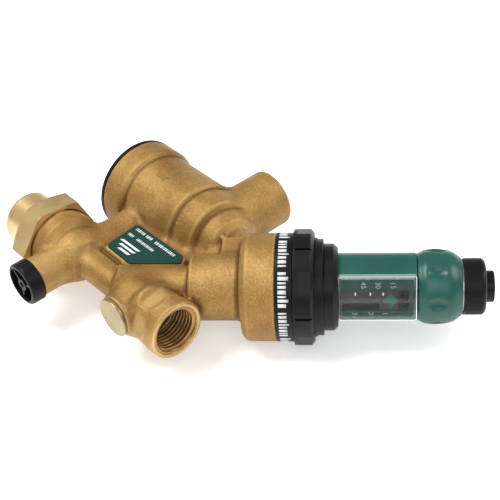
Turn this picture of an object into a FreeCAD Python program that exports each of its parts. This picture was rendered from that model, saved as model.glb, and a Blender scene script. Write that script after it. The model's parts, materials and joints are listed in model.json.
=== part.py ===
import FreeCAD, Part
import math
import os

# A boiler-feed pressure regulator with its backflow preventer, lying on its back.
# Millimetres. +X runs along the pipe from the inlet union to the outlet port, +Y points
# from the pipe towards the backflow barrel and its vent, +Z is the side with the label.
# The pieces are drawn about the crossing of the run axis and the regulator axis, and are
# moved at the end so that the origin is on the outlet port's axis, where its thread starts.

V = FreeCAD.Vector
UP = V(0, 0, 1)

# --- Driving dimensions --------------------------------------------------------------

# Run: the line from the inlet union to the outlet port
OUTLET_X = 38.1            # mouth of the outlet port
OUTLET_RADIUS = 12.9
UNION_FACE_X = -44.8       # near face of the union nut
BODY_FACE_X = -50.2        # end of the casting, inside the union nut
NUT_END_X = -55.8
TAIL_END_X = -72.0
TAIL_RADIUS = 12.7
NUT_ACROSS_FLATS = 34.3
UNION_PITCH = 1.5
NUT_TURN = -5.5            # one corner of the nut, in degrees from +Y
STRAINER_X = -32.2         # strainer neck and leg to the barrel
NECK_RADIUS = 8.7
NECK_LENGTH = 22.9
CAP_LENGTH = 29.6
CAP_RADIUS = 9.7
LEG_RADIUS = 7.2
BRIDGE_RADIUS = 6.6        # solid bar that joins the inlet and outlet ends
PLUG_X = 13.0
PLUG_RADIUS = 8.6
PLUG_LENGTH = 14.2

# Half-inch taper pipe thread, drawn as parallel rings. The outlet and the vent have the
# thread's size at the mouth; the inlet has its size half way in, so it is a little tighter.
PIPE_CREST = 9.16
PIPE_ROOT = 10.45
PIPE_TAPER = 1 / 32        # change of radius per millimetre of depth
INLET_DEPTH = 6.4
PIPE_PITCH = 1.814
PIPE_DEPTH = 14.5
PIPE_LEAD = 1.5
PIPE_BORE = 8.6            # plain water way behind the thread

# Barrel: the backflow preventer, parallel to the run
BARREL_Y = 51.15
COVER_X = -54.2
BARREL_FACE_X = -52.2
FLANGE_RADIUS = 22.3
FLANGE_END_X = -39.0
BARREL_RADIUS = 20.4
STEP_X = -8.5
BARREL_END_X = 4.5
TAIL_DOME_X = 15.5
VENT_X = -1.4
VENT_END_Y = 87.6
VENT_RADIUS = 13.2

# Web between the bridge, the leg, the barrel and the regulator neck, with its label pad
WEB_TOP = 3.5
PAD_TOP = 6.9
LABEL_TOP = 8.0
LABEL_CORNERS = [(-21.5, 26.4, 2.0), (10.6, 26.4, 1.6), (13.2, 22.8, 0.9), (-2.2, 7.4, 1.5),
                 (-19.6, 7.8, 2.0)]

# Hexagon for a wrench, cut into the outlet end
WRENCH_FLATS = 22.8
WRENCH_START_X = 23.0
WRENCH_END_X = 32.0

# Regulator: distances along its axis from the crossing
REGULATOR_ANGLE = 45.0
LOWER_NECK_RADIUS = 9.0
NECK_START = 30.0
SHOULDER_START = 47.0
BODY_START = 54.5
BODY_RADIUS = 22.7
BAND_START = 66.4
BAND_RADIUS = 22.8
RING_START = 73.8
RING_RADIUS = 24.3
RING_END = 82.2
BONNET_STEP = 85.9
BONNET_END = 91.8
TUBE_RADIUS = 14.25
TUBE_BORE = 10.4
TUBE_END = 124.0
KNOB_START = 124.3
KNOB_RADIUS = 15.7
KNOB_END = 142.5
GRIP_AT = 132.3            # middle of the seven finger grips
LOCK_START = 143.0
LOCK_RADIUS = 11.75
LOCK_END = 152.2
STUB_RADIUS = 6.6
STUB_END = 155.8
SEAT_BORE = 10.05
DIAPHRAGM_SEAT = 70.0
DIAPHRAGM_RADIUS = 19.2

# Window of the pressure scale, on the side of the tube
WINDOW_TILT = 21.3         # degrees that the window faces up from the row's XY plane
WINDOW_FLAT = 11.6         # height of the flat under the lens, from the tube's axis
LENS_TOP = 15.3
LENS_WIDTH = 19.0
LENS_WALL = 1.1
SLOT_WIDTH = 8.8
SLOT_OFFSET = 1.9           # the slot is this far towards the window's lower edge
SLOT_START = 93.0
SLOT_END = 120.8
POINTER_AT = 113.2

RUN = (V(0, 0, 0), V(1, 0, 0))
BARREL = (V(0, BARREL_Y, 0), V(1, 0, 0))
VENT = (V(VENT_X, BARREL_Y, 0), V(0, 1, 0))
STRAINER = (V(STRAINER_X, 0, 0), V(0, -1, 0))
LEG = (V(STRAINER_X, 0, 0), V(0, 1, 0))
PLUG = (V(PLUG_X, 0, 0), V(0, -1, 0))
REGULATOR = (
    V(0, 0, 0),
    V(math.cos(math.radians(REGULATOR_ANGLE)), math.sin(math.radians(REGULATOR_ANGLE)), 0),
)


# --- Building blocks -----------------------------------------------------------------

def put(shape, axis, turn=0):
    """The shape, drawn along +Z, laid along an axis with its Y up, after a turn in degrees."""
    start, direction = axis
    stand = FreeCAD.Rotation(UP.cross(direction), UP, direction, "ZXY")
    spin = FreeCAD.Rotation(UP, turn)
    moved = shape.copy()
    moved.Placement = FreeCAD.Placement(start, stand.multiply(spin)).multiply(shape.Placement)
    return moved


def outline(corners):
    """A closed wire through (x, y) corners; a third number rounds that corner."""
    points = [V(corner[0], corner[1], 0) for corner in corners]
    edges = []
    ends = []
    for i, corner in enumerate(corners):
        here = points[i]
        if len(corner) < 3:
            ends.append((here, here))
            continue
        radius = corner[2]
        back = (points[i - 1] - here).normalize()
        ahead = (points[(i + 1) % len(points)] - here).normalize()
        half = back.getAngle(ahead) / 2
        reach = radius / math.tan(half)
        middle = here + (back + ahead).normalize() * (radius / math.sin(half) - radius)
        ends.append((here + back * reach, here + ahead * reach))
        edges.append(Part.Arc(ends[-1][0], middle, ends[-1][1]).toShape())
    for i in range(len(corners)):
        if ends[i - 1][1].distanceToPoint(ends[i][0]) > 1e-6:
            edges.append(Part.makeLine(ends[i - 1][1], ends[i][0]))
    return Part.Wire(Part.__sortEdges__(edges))


def lathe(profile, axis=None):
    """A turned solid. The profile holds (distance along the axis, radius) corners."""
    face = Part.Face(outline(profile))
    face.rotate(V(0, 0, 0), V(0, 1, 0), -90)
    solid = face.revolve(V(0, 0, 0), UP, 360)
    return put(solid, axis) if axis else solid


def rod(radius, start, end, axis=None, inner=0):
    """A plain cylinder or tube between two distances along the axis."""
    return lathe([(start, inner), (end, inner), (end, radius), (start, radius)], axis)


def prism(corners, start, end):
    """An outline drawn in XY and raised from one height to another."""
    solid = Part.Face(outline(corners)).extrude(V(0, 0, end - start))
    solid.translate(V(0, 0, start))
    return solid


def box(low, high):
    """A box between two corners."""
    return Part.makeBox(high[0] - low[0], high[1] - low[1], high[2] - low[2], V(*low))


def join(*shapes):
    return shapes[0].multiFuse(list(shapes[1:])).removeSplitter()


def around(shape, count, first=0):
    """Copies of a shape spaced evenly about Z."""
    copies = []
    for k in range(count):
        copy = shape.copy()
        copy.rotate(V(0, 0, 0), UP, first + 360.0 * k / count)
        copies.append(copy)
    return copies


def hexagon(across_flats, start, end, turn=0):
    """A hexagonal prism about Z, with one corner at the given angle."""
    radius = across_flats / math.sqrt(3)
    angles = [math.radians(turn + 60 * k) for k in range(6)]
    return prism([(radius * math.cos(a), radius * math.sin(a)) for a in angles], start, end)


def thread(start, end, land, groove, pitch):
    """Profile corners of ring threads from start to end: lands at one radius, grooves at another."""
    turns = max(1, round(abs(end - start) / pitch))
    step = (end - start) / turns
    corners = []
    for k in range(turns):
        s = start + k * step
        corners += [(s + 0.15 * step, land), (s + 0.42 * step, groove)]
        corners += [(s + 0.58 * step, groove), (s + 0.85 * step, land)]
    return corners


def spring(radius, wire, start, end, turns):
    """A coil spring between two distances along Z. Its round wire is drawn with eight sides."""
    height = end - start - 2 * wire
    helix = Part.makeHelix(height / turns, height, radius)
    angles = [math.radians(45 * k) for k in range(9)]
    section = Part.makePolygon(
        [V(radius + wire * math.cos(a), 0, wire * math.sin(a)) for a in angles]
    )
    coil = Part.Wire(helix).makePipeShell([section], True, True)
    coil.translate(V(0, 0, start + wire))
    return coil


def o_ring(outer, section, at, axis=None):
    """A rubber ring of round section, centred at a distance along the axis."""
    ring = Part.makeTorus(outer - section, section, V(0, 0, at))
    return put(ring, axis) if axis else ring


def pipe_port(mouth, axis, depth=0):
    """The cutter of a female half-inch pipe port, with its thread's size at some depth."""
    crest = PIPE_CREST - depth * PIPE_TAPER
    root = PIPE_ROOT - depth * PIPE_TAPER
    thread_end = mouth - PIPE_DEPTH
    profile = [(mouth + 1, 0), (mouth + 1, PIPE_ROOT + 1.3), (mouth - PIPE_LEAD, crest)]
    profile += thread(mouth - PIPE_LEAD, thread_end, crest, root, PIPE_PITCH)
    profile += [(thread_end, crest), (thread_end, 0)]
    return lathe(profile, axis)


def window_frame(shape):
    """A piece of the window, drawn with its height along X, laid on the tube's side."""
    turned = shape.copy()
    turned.rotate(V(0, 0, 0), UP, 180 - WINDOW_TILT)
    return put(turned, REGULATOR)


# --- Casting ---------------------------------------------------------------------------

def valve_body():
    inlet = lathe([
        (BODY_FACE_X, 0), (BODY_FACE_X, 14.2), (BODY_FACE_X + 0.8, 15.0),
        *thread(BODY_FACE_X + 0.8, UNION_FACE_X - 0.1, 15.0, 14.3, UNION_PITCH),
        (UNION_FACE_X + 0.3, 15.0), (UNION_FACE_X + 0.3, 15.7),
        (-38.2, 15.7, 3.0), (-33.4, 12.4, 0.8), (-29.0, 12.0, 1.5), (-25.2, 9.8, 2.0), (-24.4, 0),
    ], RUN)
    bridge = rod(BRIDGE_RADIUS, -28, 8, RUN)
    outlet = lathe([
        (2.0, 0), (2.4, 11.8, 7.0), (18.0, 11.8, 0.8), (20.6, OUTLET_RADIUS, 1.0),
        (OUTLET_X, OUTLET_RADIUS, 0.6), (OUTLET_X, 0),
    ], RUN)
    wrench = hexagon(WRENCH_FLATS, WRENCH_START_X - 1, WRENCH_END_X + 1, 9)
    flats = rod(OUTLET_RADIUS + 2, WRENCH_START_X, WRENCH_END_X).cut(wrench)
    outlet = outlet.cut(put(flats, RUN))
    plug_boss = rod(PLUG_RADIUS + 0.6, 0, PLUG_LENGTH - 1.6, PLUG)
    neck = rod(NECK_RADIUS, 0, NECK_LENGTH, STRAINER)
    leg = rod(LEG_RADIUS, 0, BARREL_Y - 10, LEG)
    barrel = lathe([
        (BARREL_FACE_X, 0), (BARREL_FACE_X, FLANGE_RADIUS, 0.4),
        (FLANGE_END_X - 2.4, FLANGE_RADIUS, 1.4), (FLANGE_END_X, BARREL_RADIUS, 1.2),
        (STEP_X, BARREL_RADIUS, 1.4), (STEP_X + 1.4, 18.7, 1.0), (BARREL_END_X - 0.6, 18.0, 1.4),
        (BARREL_END_X + 0.8, 14.6, 1.0), (TAIL_DOME_X, 13.4, 7.0), (TAIL_DOME_X, 0),
    ], BARREL)
    vent = lathe([
        (0, 0), (VENT_END_Y - BARREL_Y, 0), (VENT_END_Y - BARREL_Y, VENT_RADIUS, 0.8),
        (0, VENT_RADIUS),
    ], VENT)
    web = prism([(-30, 4), (3, 4), (33, 34), (18, 48), (-30, 48)], -WEB_TOP, WEB_TOP)
    label_pad = Part.Face(outline(LABEL_CORNERS)).makeOffset2D(1.3).extrude(V(0, 0, PAD_TOP))
    lower_neck = rod(LOWER_NECK_RADIUS, 0, NECK_START + 2, REGULATOR)
    feed_boss = put(Part.makeCylinder(5.8, 26, V(0, 0, 41), V(1, 0, 0)), REGULATOR)
    regulator = lathe([
        (NECK_START, 0), (NECK_START, 14.0, 1.2), (SHOULDER_START + 4.2, 14.0, 2.0),
        (SHOULDER_START + 5.2, 20.6, 1.5), (BODY_START, BODY_RADIUS, 1.5),
        (BAND_START, BODY_RADIUS, 0.3), (BAND_START, BAND_RADIUS - 0.75),
        (RING_START - 0.2, BAND_RADIUS - 0.75), (RING_START - 0.2, 21.6),
        *thread(RING_START, 79.0, 21.6, 20.9, 1.5), (79.0, 21.6), (79.0, 0),
    ], REGULATOR)
    pad = put(prism([(0, -10, 2), (22, -10, 2), (22, 10, 2), (0, 10, 2)], 42.2, 53), REGULATOR)
    casting = join(
        inlet, bridge, outlet, plug_boss, neck, leg, barrel, vent, web, label_pad,
        lower_neck, feed_boss, regulator, pad,
    )

    inlet_way = lathe([
        (BODY_FACE_X - 1, 0), (BODY_FACE_X - 1, 11.6), (-42.5, 11.6, 1.0), (-40.0, 8.6, 1.0),
        (-28.0, 8.6, 3.0), (-28.0, 0),
    ], RUN)
    strainer_way = rod(7.3, 0, NECK_LENGTH + 1, STRAINER)
    leg_seat = rod(5.0, 0, 10.0, LEG)
    leg_way = rod(4.3, 0, BARREL_Y - 12, LEG)
    barrel_way = lathe([
        (BARREL_FACE_X - 1, 0), (BARREL_FACE_X - 1, 19.2), (-45.8, 19.2), (-45.8, 17.0),
        (-38.0, 17.0), (-37.0, 17.9), (-27.0, 17.9), (-26.0, 17.0), (-9.5, 17.0), (-9.5, 15.0),
        (2.8, 15.0), (2.8, 10.5), (11.0, 10.5), (11.0, 9.0), (13.6, 9.0, 1.5), (13.6, 0),
    ], BARREL)
    vent_way = rod(PIPE_BORE, 0, 25, VENT)
    outlet_way = lathe([
        (6.0, 0), (6.0, PIPE_BORE, 3.0), (OUTLET_X - PIPE_DEPTH, PIPE_BORE),
        (OUTLET_X - PIPE_DEPTH, 0),
    ], RUN)
    plug_way = rod(6.3, 0, PLUG_LENGTH, PLUG)
    plug_seat = rod(PLUG_RADIUS + 0.3, PLUG_LENGTH - 1.6, PLUG_LENGTH + 1, PLUG)
    regulator_way = lathe([
        (9, 0), (9, 7.0), (32.0, 7.0), (32.0, SEAT_BORE), (37.5, SEAT_BORE), (38.2, 11.6),
        (43.8, 11.6), (44.5, SEAT_BORE), (57.5, SEAT_BORE), (57.5, 17.5, 1.5),
        (DIAPHRAGM_SEAT, 17.5), (DIAPHRAGM_SEAT, DIAPHRAGM_RADIUS + 0.15),
        (80, DIAPHRAGM_RADIUS + 0.15), (80, 0),
    ], REGULATOR)
    feed_way = Part.makeCylinder(3.3, 16, V(9, 0, 41), V(1, 0, 0))
    sensing_way = Part.makeCylinder(1.3, 38, V(-12.2, 0, 20), UP)
    return casting.cut([
        inlet_way, strainer_way, leg_seat, leg_way, barrel_way, vent_way, outlet_way, plug_way,
        plug_seat, regulator_way, put(feed_way, REGULATOR), put(sensing_way, REGULATOR),
        pipe_port(OUTLET_X, RUN), pipe_port(VENT_END_Y - BARREL_Y, VENT),
    ])


def label_plate():
    plate = prism(LABEL_CORNERS, PAD_TOP, LABEL_TOP - 0.3)
    rim = prism(LABEL_CORNERS, LABEL_TOP - 0.3, LABEL_TOP)
    face = Part.Face(outline(LABEL_CORNERS)).makeOffset2D(-0.7).extrude(V(0, 0, 1))
    face.translate(V(0, 0, LABEL_TOP - 0.3))
    return join(plate, rim.cut(face))


def side_plug():
    head = lathe([
        (PLUG_LENGTH - 1.55, 6.15), (PLUG_LENGTH - 1.55, PLUG_RADIUS),
        (PLUG_LENGTH, PLUG_RADIUS, 0.4), (PLUG_LENGTH, 0), (9.0, 0), (9.0, 4.4), (5.5, 4.4),
        (5.5, 6.15), *thread(5.5, 10.8, 6.15, 5.6, 1.2), (11.0, 6.15), (11.0, 5.2),
        (12.2, 5.2), (12.2, 6.15),
    ], PLUG)
    return head


def side_plug_o_ring():
    return o_ring(6.28, 0.52, 11.6, PLUG)


# --- Inlet union -----------------------------------------------------------------------

def union_nut():
    end = NUT_END_X
    prism_nut = hexagon(NUT_ACROSS_FLATS, end, UNION_FACE_X, NUT_TURN)
    corner = NUT_ACROSS_FLATS / math.sqrt(3) + 0.1
    chamfer = lathe([
        (end, 0), (end, 16.4), (end + 2.0, corner), (UNION_FACE_X - 0.7, corner),
        (UNION_FACE_X, corner - 0.9), (UNION_FACE_X, 0),
    ])
    hole = lathe([
        (end - 1, 0), (end - 1, 12.95), (end + 1.55, 12.95), (end + 1.55, 15.9), (-51.0, 15.9),
        (-51.0, 15.2), *thread(-51.0, -46.5, 15.2, 15.8, UNION_PITCH),
        (UNION_FACE_X - 0.9, 15.2), (UNION_FACE_X + 0.1, 16.2), (UNION_FACE_X + 0.1, 0),
    ])
    return put(prism_nut.common(chamfer).cut(hole), RUN)


def union_tailpiece():
    blank = lathe([
        (-51.45, PIPE_BORE), (-51.45, 14.7), (-54.15, 14.7), (-54.15, TAIL_RADIUS),
        (TAIL_END_X, TAIL_RADIUS, 3.0), (TAIL_END_X, PIPE_BORE),
    ], RUN)
    port_axis = (V(0, 0, 0), V(-1, 0, 0))
    return blank.cut(pipe_port(-TAIL_END_X, port_axis, INLET_DEPTH))


def union_gasket():
    return rod(14.6, -51.45, BODY_FACE_X - 0.05, RUN, inner=11.0)


# --- Strainer --------------------------------------------------------------------------

def strainer_cap():
    back = NECK_LENGTH + 0.05
    cap = lathe([
        (back, 7.2), (back, CAP_RADIUS, 0.5), (CAP_LENGTH, CAP_RADIUS, 1.2),
        (CAP_LENGTH, CAP_RADIUS - 1.8), (CAP_LENGTH - 4.2, CAP_RADIUS - 1.8), (CAP_LENGTH - 4.2, 0),
        (21.0, 0), (21.0, 4.9), (14.6, 4.9), (14.6, 7.2), (16.4, 7.2), (16.4, 5.95),
        (18.0, 5.95), (18.0, 7.2), *thread(18.3, back - 0.05, 7.2, 6.7, 1.5),
    ])
    hub = rod(2.8, CAP_LENGTH - 4.3, CAP_LENGTH - 0.5, inner=1.4)
    spoke = box((2.2, -0.5, CAP_LENGTH - 4.3), (CAP_RADIUS - 1.5, 0.5, CAP_LENGTH - 0.8))
    return put(join(cap, hub, *around(spoke, 3, 20)), STRAINER)


def strainer_o_ring():
    return o_ring(7.27, 0.64, 17.2, STRAINER)


def strainer_screen():
    sleeve = rod(4.8, -9.6, 20.8, inner=4.35)
    bars = []
    for row in range(8):
        height = -6.0 + 2.3 * row
        hole = Part.makeCylinder(0.75, 12, V(0, 0, height), V(1, 0, 0))
        bars += around(hole, 10, 18 * (row % 2))
    return put(sleeve.cut(bars), STRAINER)


# --- Backflow preventer ----------------------------------------------------------------

def barrel_cover():
    blank = lathe([
        (COVER_X, 0), (COVER_X, FLANGE_RADIUS, 0.5), (BARREL_FACE_X - 0.05, FLANGE_RADIUS),
        (BARREL_FACE_X - 0.05, 19.1), *thread(BARREL_FACE_X, -50.0, 19.1, 18.6, 1.1),
        (-49.6, 19.1), (-49.6, 17.6), (-48.0, 17.6), (-48.0, 19.1), (-45.9, 19.1),
        (-45.9, 14.8), (-49.0, 14.8), (-49.0, 0),
    ])
    pocket = rod(17.6, COVER_X - 1, COVER_X + 2.4)
    boss = hexagon(14.0, COVER_X, COVER_X + 2.5).cut(rod(4.0, COVER_X - 1, COVER_X + 2))
    spoke = box((5.5, -0.8, COVER_X + 0.3), (18.0, 0.8, COVER_X + 2.5))
    return put(join(blank.cut(pocket), boss, *around(spoke, 6, 15)), BARREL)


def barrel_cover_o_ring():
    return o_ring(19.18, 0.78, -48.8, BARREL)


def cartridge_sleeve():
    sleeve = lathe([
        (-45.8, 15.2), (-45.8, 16.95), (-9.55, 16.95), (-9.55, 11.6), (-10.4, 11.6),
        (-10.4, 13.0), (-24.0, 13.0), (-24.0, 15.2),
    ])
    window = box((10, -3.5, -36.5), (18, 3.5, -27.5))
    return put(sleeve.cut(around(window, 6, 30)), BARREL)


def vent_piston():
    return lathe([
        (-22.0, 6.5), (-22.0, 12.95), (-19.6, 12.95), (-19.6, 11.7), (-18.2, 11.7),
        (-18.2, 12.95), (-15.0, 12.95), (-15.0, 11.2), (-12.5, 11.2), (-12.5, 10.0),
        (-20.0, 10.0), (-20.0, 6.5),
    ], BARREL)


def vent_piston_o_ring():
    return o_ring(12.97, 0.62, -18.9, BARREL)


def vent_return_spring():
    return put(spring(12.15, 0.4, -14.95, -10.45, 2.5), BARREL)


def spider(radius, hub, hole, start, end):
    """A round plate with six water ways round a guide hole."""
    plate = rod(radius, start, end, inner=hole)
    reach = (radius + hub) / 2
    way = Part.makeCylinder((radius - hub) / 2 - 0.6, end - start + 2, V(reach, 0, start - 1), UP)
    return plate.cut(around(way, 6))


def first_check_guide():
    return put(spider(9.95, 2.6, 1.6, -14.4, -12.9), BARREL)


def first_check_poppet():
    return lathe([
        (-20.8, 0), (-20.8, 1.95), (-19.0, 1.95), (-19.0, 8.0), (-17.8, 8.0), (-17.8, 1.5),
        (-10.5, 1.5), (-10.5, 0),
    ], BARREL)


def first_check_seal():
    return rod(8.0, -19.95, -19.0, BARREL, inner=2.0)


def first_check_spring():
    return put(spring(5.0, 0.35, -17.75, -14.45, 2.5), BARREL)


def vent_seat():
    return lathe([
        (-9.8, 8.0), (-9.8, 10.9), (1.2, 10.9), (1.2, 14.9), (2.75, 14.9), (2.75, 10.45),
        (4.6, 10.45), (4.6, 9.2), (6.0, 9.2), (6.0, 10.45), (10.9, 10.45), (10.9, 8.0),
        (2.5, 8.0), (2.5, 4.6), (1.0, 4.6), (1.0, 8.0),
    ], BARREL)


def vent_seat_o_ring():
    return o_ring(10.48, 0.62, 5.3, BARREL)


def second_check_guide():
    return put(spider(7.95, 2.2, 1.3, 9.4, 10.8), BARREL)


def second_check_poppet():
    return lathe([
        (1.8, 0), (1.8, 1.55), (3.4, 1.55), (3.4, 6.6), (4.4, 6.6), (4.4, 1.2), (10.2, 1.2),
        (10.2, 0),
    ], BARREL)


def second_check_seal():
    return rod(6.6, 2.55, 3.4, BARREL, inner=1.6)


def second_check_spring():
    return put(spring(4.2, 0.35, 4.45, 9.35, 4), BARREL)


# --- Regulator inside the casting ------------------------------------------------------

def seat_cartridge():
    blank = lathe([
        (32.05, 7.3), (32.05, 10.0), (33.2, 10.0), (33.2, 8.7), (34.8, 8.7), (34.8, 10.0),
        (46.4, 10.0), (46.4, 8.7), (48.0, 8.7), (48.0, 10.0), (50.0, 10.0), (50.0, 4.5),
        (45.0, 4.5), (45.0, 6.6), (36.5, 6.6), (36.5, 4.4), (34.5, 4.4), (34.5, 5.2),
        (35.1, 5.8), (35.1, 7.3),
    ])
    window = box((5, -2.6, 38.5), (11, 2.6, 43.5))
    return put(blank.cut(around(window, 4)), REGULATOR)


def cartridge_o_rings():
    return Part.makeCompound([o_ring(10.03, 0.66, at, REGULATOR) for at in (34.0, 47.2)])


def cartridge_retainer():
    ring = rod(9.95, 50.05, 53.0, inner=6.0)
    notch = box((-11, -1.0, 51.6), (11, 1.0, 54))
    return put(ring.cut(notch), REGULATOR)


def regulator_stem():
    return lathe([
        (28.4, 0), (28.4, 1.9), (32.5, 1.9), (32.5, 3.1), (43.6, 3.1), (43.6, 4.43),
        (46.7, 4.43), (46.7, 3.5), (47.9, 3.5), (47.9, 4.43), (49.6, 4.43), (49.6, 3.0),
        (66.4, 3.0), (66.4, 2.4), (76.0, 2.4), (76.0, 0),
    ], REGULATOR)


def stem_o_ring():
    return o_ring(4.46, 0.47, 47.3, REGULATOR)


def seat_disc():
    return rod(6.2, 31.1, 32.5, REGULATOR, inner=1.95)


def seat_disc_nut():
    washer = rod(5.4, 30.4, 31.1, inner=1.95)
    nut = hexagon(7.0, 28.1, 30.4).cut(rod(1.95, 28, 31))
    return put(join(washer, nut), REGULATOR)


def lower_diaphragm_plate():
    return lathe([
        (66.4, 2.45), (66.4, 11.6), (67.2, 12.6), (68.45, 12.6), (68.45, 2.45),
    ], REGULATOR)


def diaphragm():
    return lathe([
        (68.5, 2.5), (68.5, 12.9), (66.9, 13.3), (66.9, 15.2), (70.05, 15.8),
        (70.05, DIAPHRAGM_RADIUS), (71.95, DIAPHRAGM_RADIUS), (71.95, 14.7), (68.3, 14.2),
        (68.3, 13.9), (70.0, 13.5), (70.0, 2.5),
    ], REGULATOR)


def upper_diaphragm_plate():
    return lathe([
        (70.05, 2.45), (70.05, 13.0), (71.5, 13.0), (71.5, 6.6), (72.6, 6.6), (72.6, 2.45),
    ], REGULATOR)


def diaphragm_nut():
    return put(hexagon(8.0, 72.65, 75.6).cut(rod(2.45, 72, 77)), REGULATOR)


def range_spring():
    return put(spring(8.3, 1.1, 71.55, 107.45, 7), REGULATOR)


# --- Bonnet, scale tube and knob -------------------------------------------------------

def label_band():
    return rod(BAND_RADIUS, BAND_START + 0.1, RING_START - 0.25, REGULATOR, inner=BAND_RADIUS - 0.7)


def ring_nut():
    blank = lathe([
        (RING_START, 21.75), (RING_START, RING_RADIUS, 0.4), (80.9, RING_RADIUS, 0.4),
        (RING_END, 22.7), (RING_END, 20.85), (80.95, 20.85), (80.95, 21.75),
        *thread(79.6, RING_START + 0.4, 21.75, 22.4, 1.5),
    ])
    groove = box((RING_RADIUS - 1.0, -0.5, RING_START + 1.0), (RING_RADIUS + 1, 0.5, RING_END + 1))
    flat = box((RING_RADIUS - 0.45, -9, RING_START + 1.6), (RING_RADIUS + 1, 9, RING_END + 1))
    tools = around(groove, 5, 28) + around(flat, 5, -8)
    return put(blank.cut(tools), REGULATOR)


def bonnet():
    return lathe([
        (72.0, 15.7), (72.0, DIAPHRAGM_RADIUS), (79.05, DIAPHRAGM_RADIUS), (79.05, 21.4),
        (80.85, 21.4), (80.85, 20.7), (83.4, 20.7, 0.3), (83.4, 20.2), (BONNET_STEP, 20.2, 0.4),
        (BONNET_STEP, 18.2), (90.1, 18.2), (BONNET_END, 16.5), (BONNET_END, TUBE_RADIUS + 0.05),
        (81.6, TUBE_RADIUS + 0.05), (81.6, 15.7),
    ], REGULATOR)


def spring_housing():
    tube = lathe([
        (79.0, TUBE_BORE), (79.0, 15.6), (81.55, 15.6), (81.55, TUBE_RADIUS),
        (TUBE_END, TUBE_RADIUS, 0.3), (TUBE_END, 4.1), (121.5, 4.1), (121.5, TUBE_BORE),
    ], REGULATOR)
    flat = box((WINDOW_FLAT, -12, 92.6), (20, 12, 122.8))
    low, high = SLOT_OFFSET - SLOT_WIDTH / 2, SLOT_OFFSET + SLOT_WIDTH / 2
    slot = box((5, low, SLOT_START), (20, high, SLOT_END))
    return tube.cut([window_frame(flat), window_frame(slot)])


def window_lens():
    half = LENS_WIDTH / 2
    outer = box((9.0, -half, BONNET_END + 0.1), (LENS_TOP, half, TUBE_END - 0.1))
    inner = box(
        (8.0, LENS_WALL - half, BONNET_END + 0.1 + LENS_WALL),
        (LENS_TOP - LENS_WALL, half - LENS_WALL, TUBE_END - 0.1 - LENS_WALL),
    )
    tube = rod(TUBE_RADIUS + 0.03, 80, 130)
    return window_frame(outer.cut([inner, tube]))


def spring_carrier():
    carrier = lathe([
        (92.6, 9.6), (92.6, 10.3), (116.5, 10.3), (116.5, 3.5),
        *thread(116.5, 107.5, 3.5, 3.9, 2.5), (107.5, 3.5), (107.5, 9.6),
    ])
    half = SLOT_WIDTH / 2 - 0.25
    rib = box((9.7, SLOT_OFFSET - half, 108.6), (WINDOW_FLAT - 0.1, SLOT_OFFSET + half, 116.5))
    return window_frame(join(carrier, rib))


def pressure_pointer():
    plate = prism([(-3.1, 0), (0, -3.5), (3.1, 0), (0, 3.5)], 0, 1.0)
    plate.rotate(V(0, 0, 0), V(0, 1, 0), 90)
    plate.translate(V(WINDOW_FLAT - 0.1, SLOT_OFFSET, POINTER_AT))
    return window_frame(plate)


def adjusting_spindle():
    return lathe([
        (90.0, 0), (90.0, 2.9), (90.5, 3.4), *thread(91.0, 118.5, 3.4, 3.0, 2.5),
        (119.2, 3.4), (119.2, 6.5), (121.4, 6.5), (121.4, 4.0), (143.0, 4.0), (143.0, 3.0),
        (154.0, 3.0), (154.0, 0),
    ], REGULATOR)


def adjusting_knob():
    blank = lathe([
        (KNOB_START, 4.05), (KNOB_START, 13.9, 0.4), (127.4, 15.35, 5.0), (132.0, KNOB_RADIUS, 12.0),
        (138.4, 15.0, 9.0), (KNOB_END, 12.0, 0.8), (KNOB_END, 4.05),
    ])
    hollow = rod(11.6, KNOB_START - 1, 138.6, inner=6.6)
    grip = lathe([(GRIP_AT - 8.5, 0), (GRIP_AT, 7.0, 9.0), (GRIP_AT + 8.5, 0)])
    grip.translate(V(KNOB_RADIUS + 2.94, 0, 0))
    return put(blank.cut([hollow] + around(grip, 7, 13.8)), REGULATOR)


def lock_washer():
    return rod(10.6, KNOB_END + 0.02, LOCK_START - 0.02, REGULATOR, inner=6.75)


def lock_ring():
    ring = lathe([
        (LOCK_START, 6.75), (LOCK_START, LOCK_RADIUS, 0.3), (LOCK_END, LOCK_RADIUS, 2.2),
        (LOCK_END, 6.75), *thread(150.5, LOCK_START + 0.5, 6.75, 7.2, 1.0),
    ])
    knurl = Part.makeCylinder(0.24, 8, V(LOCK_RADIUS + 0.08, 0, LOCK_START + 0.6), UP)
    return put(ring.cut(around(knurl, 80)), REGULATOR)


def spindle_cap():
    return lathe([
        (KNOB_END + 0.02, 4.05), (KNOB_END + 0.02, STUB_RADIUS),
        *thread(LOCK_START, 151.5, STUB_RADIUS, 6.1, 1.0),
        (STUB_END, STUB_RADIUS, 0.6), (STUB_END, 0), (154.1, 0), (154.1, 3.05), (143.05, 3.05),
        (143.05, 4.05),
    ], REGULATOR)


# --- Output ----------------------------------------------------------------------------

PIECES = [
    valve_body, label_plate, side_plug, side_plug_o_ring,
    union_nut, union_tailpiece, union_gasket,
    strainer_cap, strainer_o_ring, strainer_screen,
    barrel_cover, barrel_cover_o_ring, cartridge_sleeve, vent_piston, vent_piston_o_ring,
    vent_return_spring, first_check_guide, first_check_poppet, first_check_seal,
    first_check_spring, vent_seat, vent_seat_o_ring, second_check_guide, second_check_poppet,
    second_check_seal, second_check_spring,
    seat_cartridge, cartridge_o_rings, cartridge_retainer, regulator_stem, stem_o_ring,
    seat_disc, seat_disc_nut, lower_diaphragm_plate, diaphragm, upper_diaphragm_plate,
    diaphragm_nut, range_spring,
    label_band, ring_nut, bonnet, spring_housing, window_lens, spring_carrier,
    pressure_pointer, adjusting_spindle, adjusting_knob, lock_washer, lock_ring, spindle_cap,
]

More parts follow.
